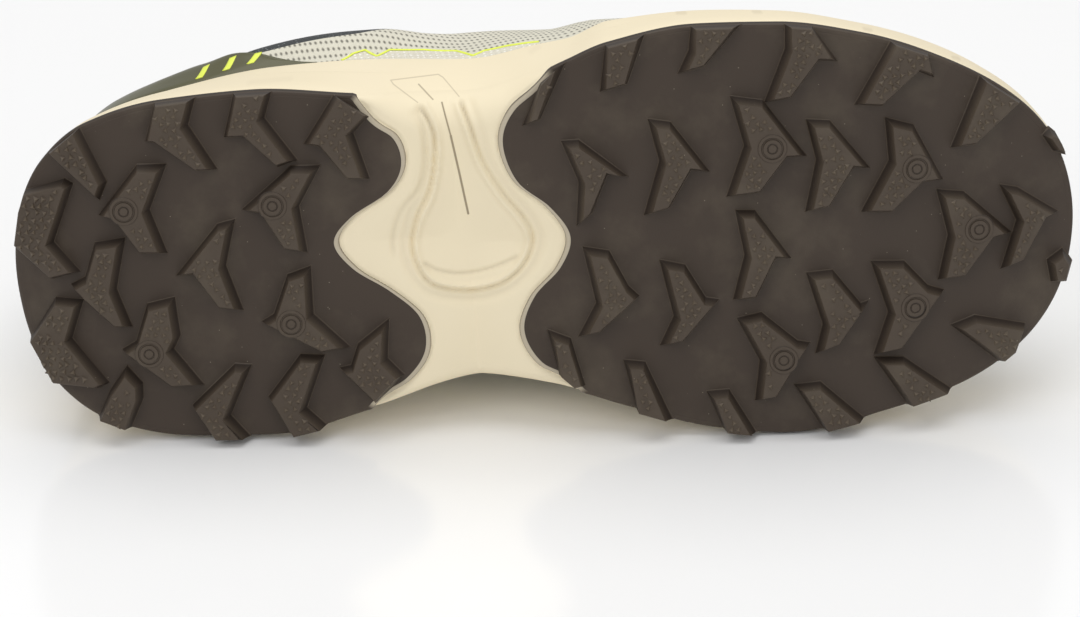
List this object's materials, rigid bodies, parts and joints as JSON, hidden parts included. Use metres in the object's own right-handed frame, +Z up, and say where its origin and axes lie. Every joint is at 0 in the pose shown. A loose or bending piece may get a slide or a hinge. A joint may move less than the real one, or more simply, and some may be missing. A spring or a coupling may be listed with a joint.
{
  "type": "hiking shoe",
  "caption": "Low right hiking shoe lying on its inner side, with a wide cream foam midsole, dark lugged rubber pods at heel and forefoot, a mesh upper, an olive heel counter and laces.",
  "frame": {"origin": "Centre of the bounding box in plan, on the floor that the shoe lies on.", "axes": "+Z up from the floor. The shoe lies on its inner side with the toe towards +X and the heel towards -X, its sole facing -Y and leaning back by about 9.5 degrees, and its outer side up."},
  "size_m": [0.3008, 0.1324, 0.1212],
  "materials": {
    "midsole": "cream EVA foam with a fine moulded skin",
    "outsole": "dark brown moulded rubber, satin on the lugs",
    "upper": "light grey open mesh",
    "heel_counter": "olive gloss film bonded over the mesh",
    "toe_cap": "olive gloss film bonded over the mesh",
    "eyestay": "olive welded reinforcement, satin",
    "collar": "charcoal padded knit",
    "tongue": "charcoal padded mesh",
    "insole": "dark grey felted top cloth",
    "laces": "yellow-green braided flat lace",
    "eyelets": "dark grey enamelled"
  },
  "bodies": {
    "root": {"midsole": "midsole", "insole": "insole", "upper": "upper", "heel_counter": "heel_counter", "toe_cap": "toe_cap", "eyestay": "eyestay", "collar": "collar", "tongue": "tongue", "laces": "laces", "outsole_heel": "outsole", "outsole_forefoot": "outsole", "eyelet_outer_1": "eyelets", "eyelet_outer_2": "eyelets", "eyelet_outer_3": "eyelets", "eyelet_outer_4": "eyelets", "eyelet_outer_5": "eyelets", "eyelet_inner_1": "eyelets", "eyelet_inner_2": "eyelets", "eyelet_inner_3": "eyelets", "eyelet_inner_4": "eyelets", "eyelet_inner_5": "eyelets"}
  },
  "joints": []
}
